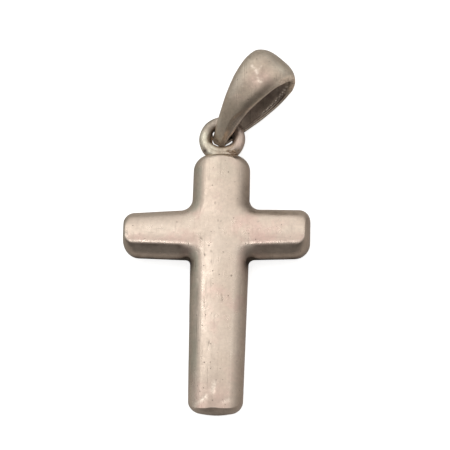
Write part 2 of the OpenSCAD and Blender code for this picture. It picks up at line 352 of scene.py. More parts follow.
# Dark flaws in the front: both ends in millimetres, half width and darkness
FLAWS = [
    (-1.5, -0.6, 3.1, -1.4, -0.75, 3.1, 0.06, 0.8), (-0.55, -1.8, 3.1, -0.5, -1.9, 3.1, 0.06, 0.7),
    (-1.1, -2.1, 3.05, -1.05, -2.25, 3.05, 0.07, 0.9), (-0.05, 0.95, 3.15, 0.1, 0.75, 3.15, 0.045, 0.7),
    (0.1, 0.75, 3.15, 0.3, 0.85, 3.15, 0.04, 0.6), (0.05, 0.2, 3.15, 0.2, 0.15, 3.15, 0.04, 0.4),
    (-0.35, 2.5, 3.12, -0.3, 2.5, 3.12, 0.06, 0.6), (3.5, 0.75, 3.1, 3.5, 0.8, 3.1, 0.05, 0.6),
    (3.9, 1.3, 3.05, 3.95, 1.25, 3.05, 0.06, 0.6), (4.0, -0.6, 3.05, 5.9, -0.65, 3.05, 0.05, 0.6),
    (-6.3, -0.1, 3.1, -5.7, -0.15, 3.1, 0.05, 0.4), (-2.75, -0.9, 3.05, -2.7, -1.1, 3.05, 0.06, 0.4),
    (0.55, -6.1, 3.12, 0.55, -6.15, 3.12, 0.06, 0.8), (1.05, -7.75, 3.12, 1.05, -7.85, 3.12, 0.06, 0.7),
    (-0.5, -10.0, 3.12, -0.5, -10.1, 3.12, 0.06, 0.7), (-0.45, -2.7, 3.12, -0.5, -2.8, 3.12, 0.05, 0.5),
    (0.15, -13.3, 3.12, 0.2, -13.3, 3.12, 0.05, 0.5), (-1.7, -7.2, 3.0, -1.65, -7.75, 3.0, 0.07, 0.35),
    (-1.7, -8.5, 3.0, -1.7, -9.1, 3.0, 0.06, 0.3), (1.25, -10.8, 3.1, 1.3, -12.0, 3.1, 0.05, 0.25),
]


def cross_corners(c, side, end, top, on_flat):
    """Corners of the cross, anticlockwise, and their radii. The corners are drawn in by side on the
    long sides, by end at the foot and the tips and by top at the top end. On the flat the outer corners
    take one radius, the inner ones are rounder, and the bows shrink with the width that is left."""
    def outer(radius):
        return c.flat_corner_r if on_flat else radius

    def inner(radius):
        return radius + c.flat_inner_gain * on_flat
    foot_y, top_y = end - c.foot_len, c.top_len - top
    left_x, right_x = end - c.left_len, c.right_len - end
    arm_y, neck_x, waist_x = c.arm_h / 2 - side, c.neck_w / 2 - side, c.waist_w / 2 - side
    foot_x, top_x = c.foot_w / 2 - side, c.top_w / 2 - side
    foot_share, top_share = 1 - 2 * side / c.foot_w, 1 - 2 * side / c.top_w
    foot_side_y, top_side_y = foot_y + c.foot_crown * foot_share, top_y - c.top_crown * top_share
    rows = np.array([
        (neck_x, arm_y, inner(c.upper_inner_r)),
        (top_x, top_side_y, outer(c.top_r)),
        (0, top_y, c.bow_r * top_share),
        (-top_x, top_side_y, outer(c.top_r)),
        (-neck_x, arm_y, inner(c.upper_inner_r)),
        (left_x, c.left_tip_h / 2 - side, outer(c.tip_upper_r)),
        (left_x, side - c.left_tip_h / 2, outer(c.tip_lower_r)),
        (-waist_x, -arm_y, inner(c.lower_inner_r)),
        (-foot_x, foot_side_y, outer(c.foot_r)),
        (0, foot_y, c.bow_r * foot_share),
        (foot_x, foot_side_y, outer(c.foot_r)),
        (waist_x, -arm_y, inner(c.lower_inner_r)),
        (right_x, side - c.right_tip_h / 2, outer(c.tip_lower_r)),
        (right_x, c.right_tip_h / 2 - side, outer(c.tip_upper_r)),
    ], float)
    return rows[:, :2], rows[:, 2]


def rounded(corners, radii):
    """Closed outline through rounded corners. Each arc touches both runs at the same reach from its
    corner, which is the radius over the tangent of half the corner's angle, cut to 0.49 of a run."""
    back, on = np.roll(corners, 1, 0) - corners, np.roll(corners, -1, 0) - corners
    run = np.minimum(np.linalg.norm(back, axis=1), np.linalg.norm(on, axis=1))
    back, on = unit(back), unit(on)
    half = np.arccos(np.clip((back * on).sum(1), -1, 1)) / 2
    reach = np.minimum(radii / np.tan(half), 0.49 * run)
    centre = corners + unit(back + on) * (reach / np.cos(half))[:, None]
    spoke = corners + back * reach[:, None] - centre
    side = np.sign(on[:, 0] * back[:, 1] - on[:, 1] * back[:, 0])
    turn = (side * (np.pi - 2 * half))[:, None] * np.linspace(0, 1, ARC_STEPS + 1)
    c, s = np.cos(turn), np.sin(turn)
    arcs = centre[:, None] + np.stack([spoke[:, :1] * c - spoke[:, 1:] * s,
                                       spoke[:, :1] * s + spoke[:, 1:] * c], -1)
    parts = []
    for arc, start, steps in zip(arcs, np.roll(arcs[:, 0], -1, 0), RUN_STEPS):
        shares = np.arange(1, steps)[:, None] / steps
        parts += [arc, arc[-1] + (start - arc[-1]) * shares]
    return np.concatenate(parts)


def shoulder_profiles(stations):
    """Two ways down from the flat to the outline, as shares (out, up): a quarter ellipse, and a crisp
    one, a short run that falls off as a parabola to an edge and then a facet bowed as a curve of three
    points, with the edge softened by a moving average."""
    a = np.linspace(0, np.pi / 2, ELLIPSE_SAMPLES)
    soft = np.stack([np.sin(a), np.cos(a)], 1)
    edge, bend, base = np.array([0.235, 0.972]), np.array([1.0, 0.56]), np.array([1.0, 0.0])
    t = np.linspace(0, 1, FACET_SAMPLES)[:, None]
    facet = edge * (1 - t) ** 2 + bend * 2 * t * (1 - t) + base * t ** 2
    s = np.linspace(0, 1, LEAD_SAMPLES)[:-1, None]
    lead = np.concatenate([edge[0] * s, 1 - (1 - edge[1]) * s ** 2], 1)
    crisp = even(np.concatenate([lead, facet]), np.linspace(0, 1, PROFILE_SAMPLES))
    kernel = np.hanning(SOFTENED_OVER)
    kernel /= kernel.sum()
    half = SOFTENED_OVER // 2
    padded = np.concatenate([2 * crisp[0] - crisp[half:0:-1], crisp,
                             2 * crisp[-1] - crisp[-2:-half - 2:-1]])
    crisp = np.stack([np.convolve(padded[:, k], kernel, "valid") for k in (0, 1)], 1)
    return even(soft, stations), even(crisp, stations)


def full_foot(c, plan, edge, flat, profile):
    """Height shares of the shoulder, with the front run out to the full width of the foot: near the
    foot's corners a point stands about as low as the lower of two profiles, the long side's at its
    distance from the side and the end's at its distance from the outline. Where both fall by a and b,
    it falls by (a^4 + b^4)^(1/4)."""
    up_the_shaft = (plan[..., 1] + c.foot_len) / (c.foot_len - c.arm_h / 2)
    half_w = c.foot_w / 2 + (c.waist_w - c.foot_w) / 2 * up_the_shaft
    from_side = half_w - np.abs(plan[..., 0])
    column_len = np.linalg.norm(edge - flat, axis=-1)
    from_edge = column_len * (1 - profile[..., 0])

    def fall_at(share_out, x, y):
        column = np.argmin(np.hypot(edge[:, 0] - x, edge[:, 1] - y))
        return 1 - np.interp(share_out, profile[:, column, 0], profile[:, column, 1])
    side_share = 1 - from_side / c.side_shoulder
    left_fall, right_fall = (fall_at(side_share, x, 4 - c.foot_len) for x in (-c.foot_w / 2, c.foot_w / 2))
    side_fall = np.where(plan[..., 0] > 0, right_fall, left_fall)
    end_fall = fall_at(1 - from_edge / c.end_shoulder, 0, -c.foot_len)
    up = np.maximum(1 - (side_fall ** 4 + end_fall ** 4) ** 0.25, 0)
    near_end = ease(2.2 - c.foot_len, 1.5 - c.foot_len, edge[:, 1])
    at_corner = near_end * ease(0, 0.1, column_len - c.end_shoulder)
    return profile[..., 1] + at_corner * (up - profile[..., 1])


def stacked(outlines, heights):
    """Rows of plan points, each row at its own height."""
    level = np.broadcast_to(heights, (*outlines.shape[:2], 1))
    return np.concatenate([outlines, level], -1)


def cross_grid(c):
    """The smooth pillow: shoulders between the outline at mid thickness and the flats of front and
    back, the flats being shares of their edge drawn to a point over the crossing. A shoulder is a
    quarter ellipse, and takes the crisp profile along the underside of the arms and in part along the
    foot and the right of the shaft."""
    edge = rounded(*cross_corners(c, 0, 0, 0, False))
    flat = rounded(*cross_corners(c, c.side_shoulder, c.end_shoulder, c.top_shoulder, True))
    out = unit(edge - flat)
    on_arm = ease(2.9, 3.9, np.abs(edge[:, 0]))
    crisp = c.crisp * (ease(0.35, 0.95, -out[:, 1]) * (0.25 + 0.75 * on_arm)
                       + 0.3 * ease(0.3, 0.95, out[:, 0]) * (1 - on_arm))
    soft, hard = shoulder_profiles(np.linspace(0, 1, SHOULDER_ROWS) ** SHOULDER_CROWDING)
    profile = soft[:, None] + (hard - soft)[:, None] * crisp[:, None]
    mid = c.thick / 2
    plan = flat + (edge - flat) * profile[..., :1]
    shoulder = stacked(plan, 0)
    shoulder[..., 2] = mid * (1 + full_foot(c, plan, edge, flat, profile))
    fall = np.linspace(0, np.pi / 2, BACK_ROWS)[:-1, None, None]
    back = stacked(flat + (edge - flat) * np.sin(fall), mid * (1 - np.cos(fall)))
    shares_in = 1 - (np.arange(1, FRONT_SHARES) / FRONT_SHARES) ** FRONT_CROWDING
    front = stacked(flat * shares_in[:, None, None], c.thick)
    under = stacked(flat * (np.arange(1, BACK_SHARES) / BACK_SHARES)[:, None, None], 0)
    return np.concatenate([under, back, shoulder[::-1], front])


def waves(p):
    """Soft waves of hand finishing, between 0 and 1: sines along slanting directions, added up and
    divided by twice the sum of their heights."""
    x, y, z = p[..., 0], p[..., 1], p[..., 2]
    total = (np.sin(1.9 * x + 0.7 * y + 0.3) + np.sin(0.55 * x - 1.35 * y + 1.1 * z + 1.7)
             + 0.7 * np.sin(-1.1 * x + 2.2 * y + 4.0) + 0.5 * np.sin(3.3 * x + 2.6 * y - 0.8 * z))
    return 0.5 + total / 6.4


def ding_depths(p):
    """Depth of the dings at each point: bells that fall off as exp(-(along/length)^2 - (across/width)^2).
    The second result is the same bells without their depths, for the bare metal in them."""
    x0, y0, z0, turn, long_r, wide_r, deep = np.array(DINGS).T
    c, s = np.cos(np.radians(turn)), np.sin(np.radians(turn))
    dx, dy, dz = (p[..., k, None] - v for k, v in ((0, x0), (1, y0), (2, z0)))
    marks = bell(dx * c + dy * s, 0, long_r) * bell(dy * c - dx * s, 0, wide_r) * bell(dz, 0, DING_HEIGHT)
    return (marks * deep).sum(-1), (marks * np.minimum(1, deep / BARE_AT_DEPTH)).max(-1)


def cross_places(c, grid, normals):
    """Places on the cross that its marks follow: x and y, the distance aside from the middle line, the
    share of the thickness, the steepness, the directions that a slope faces, and how far a point is on
    the front, on the left arm and on the underside of an arm."""
    x, y, height = grid[..., 0], grid[..., 1], grid[..., 2] / c.thick
    aside, facing = np.abs(x), unit(normals[..., :2])
    to_foot = np.clip(-facing[..., 1], 0, 1)
    further_out = 0.3 * (x > 0)
    return SimpleNamespace(
        x=x, y=y, aside=aside, height=height, steep=1 - np.abs(normals[..., 2]),
        to_right=facing[..., 0], to_top=facing[..., 1], to_foot=to_foot,
        on_front=ease(0.6, 0.9, height), left_arm=ease(-2.6, -3.6, x),
        under_arm=ease(2.2 + further_out, 3.1 + further_out, aside) * to_foot ** 2)


def cross_tarnish_and_shade(grid, p):
    """Tarnish and painted shade of the cross, between 0 and 1, from the places p: each named term is a
    strength times eases and bells. The steep flanks, the underside of the arms and the foot's end face
    are partly tarnish and partly painted shade; the inner corners and the low part near the table are
    painted shade."""
    x, y, aside, height = p.x, p.y, p.aside, p.height
    on_slope = ease(0.03, 0.3, p.steep)
    # Partly tarnish, partly painted shade: the steep flanks darken as for a dark reflection, most on the
    # foot's side, least on the top's side
    flank_tarnish_and_shade = ease(0.12, 0.75, p.steep) * 0.34 * (1 - p.under_arm) * (1 - 0.75 * ease(0.3, 0.9, p.to_top)) \
        * (0.45 + 0.55 * ease(0.3, 0.9, height))
    # Partly tarnish, partly painted shade: the dark band under the arms stands in for a dark reflection
    arm_band_tarnish_and_shade = 0.54 - 0.2 * bell(height, 0.72, 0.12) + 0.42 * ease(0.84, 0.97, height) \
        + 0.4 * ease(0.68, 0.5, height)
    arm_band_tarnish_and_shade *= p.under_arm * ease(0.07 - 0.03 * p.left_arm, 0.24 - 0.06 * p.left_arm, p.steep)
    foot_stain = 0.24 * ease(-10.2, -13.4, y) * ease(0.5, 0.9, height) * (0.1 + 0.9 * bell(x, -0.2, 0.9))
    # Painted shade in the inner corners under the arms
    inner_corner_shade = 0.4 * bell(aside, 2.45, 0.45) * bell(y, -2.5, 0.8) * on_slope
    # Partly tarnish, partly painted shade on the foot's end face
    foot_face_tarnish_and_shade = 0.3 * ease(-15.7, -16.0, y) * ease(0.7, 0.5, height)
    # Painted shade on the low part near the table
    shade_near_table = 0.35 * ease(0.35, 0.0, height)
    # Painted shade: deeper in the inner corners under the arms, right of the neck and in the corner over the
    # right arm
    deep_corner_shade = 0.45 * bell(aside, 2.85, 0.45) * bell(y, -2.4, 0.5) * ease(0.85, 0.6, height)
    right_of_neck_shade = 0.4 * ease(6.0, 2.6, y) * ease(1.0, 2.0, y) * ease(1.2, 2.2, x) * ease(3.6, 2.7, x) \
        * on_slope
    upper_corner_shade = 0.78 * bell(x, 2.4, 0.7) * bell(y, 2.5, 0.8) * ease(0.4, 0.75, height)
    tarnish = flank_tarnish_and_shade + arm_band_tarnish_and_shade + foot_stain + inner_corner_shade + foot_face_tarnish_and_shade + shade_near_table + deep_corner_shade \
        + right_of_neck_shade
    tarnish = np.maximum(tarnish, upper_corner_shade)

    by_neck = 0.07 * bell(x, -0.9, 1.0) * bell(y, 2.2, 2.0)
    right_tip = 0.16 * ease(6.2, 7.3, x) * ease(0.1, 1.3, y)
    down_the_left = 0.3 * bell(x, -1.64, 0.15) * ease(-3.2, -5.5, y) * ease(-11.5, -9.5, y)
    along_left_arm = 0.1 * bell(y, 0.95, 0.4) * p.left_arm
    foot_edge = 0.1 * ease(-14.2, -15.0, y) * ease(-1.4, -0.6, x)
    top_edge = 0.12 * bell(y, 6.95, 0.22)
    tarnish += (by_neck + right_tip + down_the_left + along_left_arm + foot_edge + top_edge) * p.on_front
    # Painted shade on the slopes beside the waist, under the arms
    left_of_waist_shade = ease(-4.6, -2.9, x) * ease(-1.2, -1.6, y) * ease(-2.2, -2.5, x)
    right_of_waist_shade = ease(3.6, 2.9, x) * ease(-1.6, -2.0, y) * ease(2.2, 2.5, x)
    tarnish += 0.2 * (left_of_waist_shade + right_of_waist_shade) * ease(0.03, 0.2, p.steep) * ease(-3.4, -2.6, y)
    return tarnish + 0.85 * line_marks(grid, FLAWS)


def cross_wear_and_highlights(grid, p, bare):
    """Bare metal and painted highlights of the cross, between 0 and 1: bells on the steepness along the
    underside of the arms and the right side, which are partly worn edges and partly painted highlight
    lines, the dings, and the streaks, which are painted glints."""
    # Partly worn edges, partly painted highlight lines along the arms' underside and the right side
    arm_edge_wear_and_highlight = 0.75 * bell(p.steep, 0.055 - 0.025 * p.left_arm, 0.05 - 0.012 * p.left_arm) * p.to_foot \
        * ease(0.4, 0.9, p.height)
    right_edge_wear_and_highlight = 0.3 * bell(p.steep, 0.06, 0.05) * ease(0.6, 0.95, p.to_right) * ease(0.5, -0.5, p.y)
    return np.maximum(arm_edge_wear_and_highlight + right_edge_wear_and_highlight + bare, line_marks(grid, PAINTED_GLINT_STREAKS))


def cross_tints(p):
    """Rosiness and film of the cross, between 0 and 1: the flats of the arms and the foot are rosy, and
    the top end and the left sides have a film. On the left shoulder the film is partly painted shade,
    which narrows the highlight there."""
    flatness = ease(0.2, 0.02, p.steep) * ease(0.5, 0.9, p.height)
    low_on_arms = ease(0.1, -1.0, p.y) * ease(2.4, 4.0, p.aside)
    on_foot = ease(-12.8, -14.6, p.y)
    by_waist = bell(p.aside, 2.1, 0.5) * bell(p.y, -2.9, 1.3)
    rosy = flatness * (0.6 * low_on_arms + 0.65 * on_foot) + 0.7 * by_waist
    top_film = 0.35 * ease(3.5, 6.0, p.y) * ease(2.0, 0.8, p.aside) * p.on_front
    # Partly greenish film, partly painted shade narrowing the highlight on the left shoulder
    left_film_and_shade = 0.9 * (1 - 0.6 * ease(-11.5, -13.5, p.y)) * ease(0.015, 0.11, p.steep) \
        * ease(0.2, 0.9, -p.to_right)
    upper_film = 0.2 * ease(0.05, 0.3, p.steep) * np.clip(p.to_top, 0, 1)
    return rosy, top_film + left_film_and_shade + upper_film


def cross_surface(c):
    """The pillow, whose front sinks by crown_dip times the square of a distance that grows away from
    the middle lines of both the arms and the shaft. The front is then pushed in along its normals by
    the waves and the dings."""
    grid = cross_grid(c)
    normals = grid_normals(grid)
    fx = grid[..., 0] / (c.waist_w / 2 - c.side_shoulder)
    fy = grid[..., 1] / (c.arm_h / 2 - c.side_shoulder)
    far = np.sqrt((fx * fy) ** 2 / (fx ** 2 + fy ** 2 + 1e-9))
    grid[..., 2] -= c.crown_dip * np.minimum(far, FURTHEST) ** 2 * (grid[..., 2] / c.thick) ** 2
    depth, bare = ding_depths(grid)
    up_side = ease(0.25, 0.6, grid[..., 2] / c.thick)
    grid -= normals * ((c.wave * waves(grid) + depth) * up_side)[..., None]
    points = np.concatenate([grid.reshape(-1, 3), [[0, 0, 0], [0, 0, c.thick]]])
    p = cross_places(c, grid, normals)
    rosy, film = cross_tints(p)
    marks = {"tarnish": cross_tarnish_and_shade(grid, p), "wear": cross_wear_and_highlights(grid, p, bare), "rosy": rosy, "film": film}
    return points, capped_tube(*grid.shape[:2]), {key: np.append(m, [0, 0]) for key, m in marks.items()}


# Ring and solder

RING_STEPS, WIRE_STEPS, SOLDER_STEPS, SOLDER_ROUND, BEAD_ROWS, BEAD_ROUND = 200, 56, 90, 48, 11, 20
DOWN = np.array([0.0, 0.0, -1.0])
ROOM_STATIONS, WIRE_DENT, SOLDER_LUMP, BEAD_KNOB, SEAM_LOW, SEAM_WIDE = 72, 0.012, 0.03, 0.12, 0.1, 0.14

# Beads of solder: x, y, z and radius
BEADS = [(0.78, 7.44, 2.02, 0.16), (1.08, 7.52, 1.98, 0.2), (1.36, 7.66, 1.92, 0.15),
         (0.92, 7.3, 1.98, 0.14), (1.24, 7.36, 1.86, 0.14), (0.55, 7.5, 2.04, 0.12),
         (1.45, 7.82, 1.88, 0.12)]
BEAD_SHAPE = np.array([1.15, 0.9, 0.85])

# Dark spots along the seam: x, y, radius and darkness
SEAM_SPOTS = [(-1.48, 7.58, 0.26, 1.0), (-0.9, 7.5, 0.14, 0.5), (1.3, 7.62, 0.28, 0.7),
              (0.95, 7.42, 0.3, 0.3)]


def inside_line(b, t):
    """Inside line of the bail at station angle t, as (along, out): 0 is the hook end, half a turn the
    crown. The share x of the length is (1 - cos t) / 2, and the half gap is x^a * (1 - x)^0.5 of the
    depth, with a = (1 + taper) / 2."""
    x = (1 - np.cos(t)) / 2
    gap = np.sign(np.sin(t)) * b.depth * x ** ((1 + b.taper) / 2) * np.sqrt(1 - x)
    return np.stack([b.inside_len * x, gap], -1)


def fit_of_ring(r, b):
    """Where the wire lies along the bail, the radius of the ring and its centre: the wire lies as near
    to the hook end as the leaves let it, and the ring's hole is the circle that the far corners of the
    hook end clear by the hook room."""
    wire_r = r.wire / 2
    line = inside_line(b, around(ROOM_STATIONS))

    def room(along):
        return np.linalg.norm(line - [along, -b.wire_low], axis=1).min() - wire_r - b.leaf_room
    along = halve(room, 0, b.inside_len / 2)
    reach, side = along - wire_r + b.hook_rim_t, b.hook_w / 2 + b.wire_side
    hole = (reach ** 2 + side ** 2 - r.hook_room ** 2) / (reach - r.hook_room)
    ring_r = (hole + r.wire) / 2
    c = values("pendant_cross")
    centre = np.array([-r.left, c.top_len + ring_r + wire_r - r.sink, c.thick / 2])
    return along, ring_r, centre


def carried(spine, radius, spoke, steps):
    """A round profile carried along a path: at each point of the spine a circle of the given radius,
    in the plane of the spoke there and of the thickness."""
    v = around(steps)[:, None]
    circle = spoke[:, None] * np.cos(v) + DOWN * np.sin(v)
    return spine[:, None] + circle * np.broadcast_to(radius, (len(spine), steps))[..., None]


def wire_part(r, at, ring_r):
    """The ring: a circle of wire carried round a larger circle, with soft dents from a product of
    sines. Its right inside swells inwards by a bell round the ring, and a ledge of solder stands out
    under the left of the hole, a bell round the wire. Its marks are tarnish with painted shade inside
    the hole and painted shading round the outside, wear with painted light on the ledge, and crust."""
    turn, v = around(RING_STEPS)[:, None], around(WIRE_STEPS)
    spoke = np.concatenate([np.cos(turn), np.sin(turn), 0 * turn], 1)
    grid = carried(at + spoke * ring_r, r.wire / 2, spoke, WIRE_STEPS)
    dent = WIRE_DENT * (1 + np.sin(5 * turn + 2 * v) * np.sin(3 * turn - v))
    grid -= grid_normals(grid, True) * dent[..., None]
    left_side, inwards = bell(turn, np.pi, 0.75), -np.cos(v)
    right_side = bell(np.mod(turn + np.pi, 2 * np.pi), np.pi, 0.6)
    low_left = ease(2.3, 2.8, turn) * ease(4.8, 4.3, turn) * (1.15 + 0.35 * ease(3.2, 3.9, turn))
    swell = r.right_swell * right_side * ease(0.0, 0.9, inwards)
    ledge = r.ledge * low_left * bell(v, 0.62 * np.pi, 0.5)
    grid -= spoke[:, None] * (swell + ledge)[..., None]
    # Painted shade on the inside of the hole, partly tarnish
    inner = ease(0.35, 0.98, inwards) * (1 - left_side) + ease(0.2, 0.75, inwards) * left_side
    # Partly tarnish, partly painted shading: darker on the upper left, dulling the highlight there, a little
    # darker on the right, lighter on the lower left
    outer_tarnish_and_shading = 0.72 * bell(turn, 2.2, 0.45) + 0.08 * right_side - 0.13 * bell(turn, 3.6, 0.6)
    # Painted light: the ledge loses its tarnish and takes bare metal, so it shows lit
    lit_ledge = low_left * bell(v, 0.7 * np.pi, 0.45)
    tarnish = (0.8 - 0.25 * left_side) * inner + 0.13 + outer_tarnish_and_shading * (1 - inner)
    crust = 0.3 * ease(0.3, 0.95, -np.sin(turn)) * ease(0.2, 1, np.cos(v))
    marks = tarnish * (1 - np.minimum(0.95 * lit_ledge, 1)), 0.2 * (1 - inner) + 0.5 * lit_ledge, crust
    return grid, np.zeros((0, 3)), marks


def solder_part(r, at, ring_r):
    """The flow of solder: an arc of slightly thinner wire on a longer radius, which raises the bottom
    of the hole. The arc's wire is thinned by a product of sines."""
    wire_r = r.wire / 2
    solder_wire = wire_r - r.solder_thinner / 2
    arc_r = ring_r - wire_r + solder_wire + r.solder_up - r.solder_rise
    half = math.acos((arc_r ** 2 + r.solder_up ** 2 - ring_r ** 2) / (2 * arc_r * r.solder_up))
    a, v = np.linspace(-half, half, SOLDER_STEPS)[:, None], around(SOLDER_ROUND)
    spoke = np.concatenate([np.sin(a), -np.cos(a), 0 * a], 1)
    spine = at + [0, r.solder_up, 0] + spoke * arc_r
    lump = 0.5 + 0.5 * np.sin(9 * a + 2 * v + 0.4) * np.sin(14 * a - v)
    grid = carried(spine, solder_wire - SOLDER_LUMP * lump, spoke, SOLDER_ROUND)
    tarnish = 0.14 + 0.5 * ease(0.2, 0.9, -np.cos(v)) + 0.25 * ease(0.5, 0.9, np.abs(a))
    return grid, spine[[0, -1]], (tarnish, 0.0, 0.75 * ease(0.05, 0.6, a) + 0.05)


def bead_part(middle, size, k):
    """The bead numbered k: a ball squashed onto the wire, whose radius swells by a product of sines."""
    tall = np.linspace(-np.pi / 2, np.pi / 2, BEAD_ROWS + 2)[1:-1, None]
    turn = around(BEAD_ROUND)
    ball = np.stack([np.cos(tall) * np.cos(turn), np.cos(tall) * np.sin(turn), np.sin(tall) + 0 * turn], -1)
    knob = ball * (1 + BEAD_KNOB * np.sin(3 * ball[..., :1] + 2.2 * k) * np.sin(4 * ball[..., 1:2] + k))
    poles = middle + np.array([DOWN, -DOWN]) * BEAD_SHAPE * size
    return middle + knob * BEAD_SHAPE * size, poles, (0.5, 0.15, 1.0)


def ring_surface(r, b):
    """The wire, the flow of solder and the beads as one piece, with a dark seam along the bow of the
    cross's top end."""
    _, ring_r, at = fit_of_ring(r, b)
    parts = [wire_part(r, at, ring_r), solder_part(r, at, ring_r)]
    parts += [bead_part(np.array(bead[:3]), bead[3], k) for k, bead in enumerate(BEADS)]
    points, faces, marks = np.zeros((0, 3)), [], np.zeros((3, 0))
    for grid, poles, own in parts:
        rows, cols = grid.shape[:2]
        faces += capped_tube(rows, cols, len(points)) if len(poles) \
            else tube_faces(rows, cols, len(points), closed=True)
        points = np.concatenate([points, grid.reshape(-1, 3), poles])
        own = np.stack([np.broadcast_to(m, (rows, cols)).ravel() for m in own])
        marks = np.concatenate([marks, own, np.repeat(own[:, -1:], len(poles), 1)], 1)
    tarnish, wear, crust = marks
    x, y, z = points.T
    c = values("pendant_cross")
    top_end = c.top_len - (x / (c.top_w / 2)) ** 2 * c.top_crown - SEAM_LOW
    seam = 0.6 * bell(y, top_end, SEAM_WIDE) * ease(0.5, 1.2, np.abs(x))
    for spot_x, spot_y, size, dark in SEAM_SPOTS:
        seam = np.maximum(seam, dark * bell(x, spot_x, size) * bell(y, spot_y, size))
    upper = ease(1.4, 2.0, z)
    # Painted light: the film on the ring's upper left, lighter than its silver, partly real film
    film = 0.12 + 0.88 * ease(-0.1, -1.2, x - at[0]) * upper
    rosy = 0.6 * ease(0.6, 1.4, x - at[0]) * upper
    return points, faces, {"tarnish": tarnish + seam, "wear": wear, "crust": crust, "film": film,
                           "rosy": rosy}


# Bail

BAIL_STATIONS, SECTION_POINTS = 288, 112
GROWN_AT, DRAWN_FROM, INNER_EDGE, WIDEST_AT = 0.8, 0.4, 0.94, 0.12
INNER_SAMPLES, DOME_SAMPLES, BAIL_WAVE = 25, 61, 0.01
OVER_TABLE, STEEPEST_TILT = 0.004, math.radians(30)

# Nicks on the bail's dome with painted glints, bare colour where the dome glints: both ends in millimetres,
# half width and bareness
NICKS_AND_PAINTED_GLINTS = [
    (2.9, 14.2, 5.55, 3.1, 14.0, 5.6, 0.14, 1.0), (3.28, 13.8, 5.65, 3.42, 13.45, 5.68, 0.13, 1.0),
    (3.4, 13.6, 5.67, 3.8, 14.2, 5.56, 0.06, 0.7), (2.75, 14.25, 5.5, 2.9, 13.85, 5.55, 0.05, 0.5),
    (3.4, 13.05, 5.73, 3.6, 12.95, 5.73, 0.07, 0.6), (3.1, 14.0, 5.6, 3.35, 13.7, 5.65, 0.05, 0.45),
    (3.6, 12.75, 5.73, 3.72, 12.65, 5.73, 0.14, 0.9), (3.85, 12.95, 5.73, 3.9, 12.9, 5.73, 0.06, 0.5),
    (2.0, 12.6, 5.4, 2.15, 12.35, 5.4, 0.07, 0.35), (5.9, 13.75, 4.9, 6.0, 13.7, 4.85, 0.08, 0.5),
]
PINK_SPOT, PINK_SIZE = np.array([3.5, 12.9, 5.7]), np.array([1.0, 0.8, 1.0])


def strap_heights(b, x):
    """Thickness of the strap's rims and of its middle at each share x of the length."""
    grown = ease(0, GROWN_AT, x)
    return b.hook_rim_t + (b.crown_rim_t - b.hook_rim_t) * grown, b.hook_t + (b.crown_t - b.hook_t) * grown


def strap_sections(b, x):
    """Section of the strap at each share x of the length, as (across, thickness), and its half width:
    the inside follows the hollowed dome, and the dome is rise * (1 - |s|^power) over the rims."""
    w = (b.hook_w + (b.flare_w - b.hook_w) * x ** b.flare_power) / 2
    w = w * (1 - b.crown_round * np.maximum(0, (x - DRAWN_FROM) / (1 - DRAWN_FROM)) ** 2)
    rim, top = strap_heights(b, x)

    def dome(s):
        return (top - rim) * (1 - np.abs(s) ** b.dome_power)
    inner = np.linspace(-1, 1, INNER_SAMPLES)[None]
    outer = np.cos(np.linspace(0, np.pi, DOME_SAMPLES))[None]
    across = np.concatenate([INNER_EDGE * w * inner, w, w * outer, -w], 1)
    height = np.concatenate([b.hollow * ease(0, GROWN_AT, x) * dome(inner), rim * WIDEST_AT,
                             rim + dome(outer), rim * WIDEST_AT], 1)
    return across, height, w


def even_sections(across, height, count):
    """Each closed section as count points at even shares of its own length, each then averaged twice
    with its neighbours, which rounds the rims; the sections are worked out side by side."""
    loop = np.stack([across, height], -1)
    loop = np.concatenate([loop, loop[:, :1]], 1)
    steps = np.linalg.norm(np.diff(loop, axis=1), axis=-1)
    along = np.concatenate([np.zeros((len(loop), 1)), np.cumsum(steps, 1)], 1)
    shares = along / along[:, -1:]
    wanted = np.arange(count) / count
    made = np.stack([[np.interp(wanted, s, line[:, k]) for k in (0, 1)] for s, line in zip(shares, loop)])
    made = made.transpose(0, 2, 1)
    for _ in range(2):
        made = (np.roll(made, 1, 1) + 2 * made + np.roll(made, -1, 1)) / 4
    return made


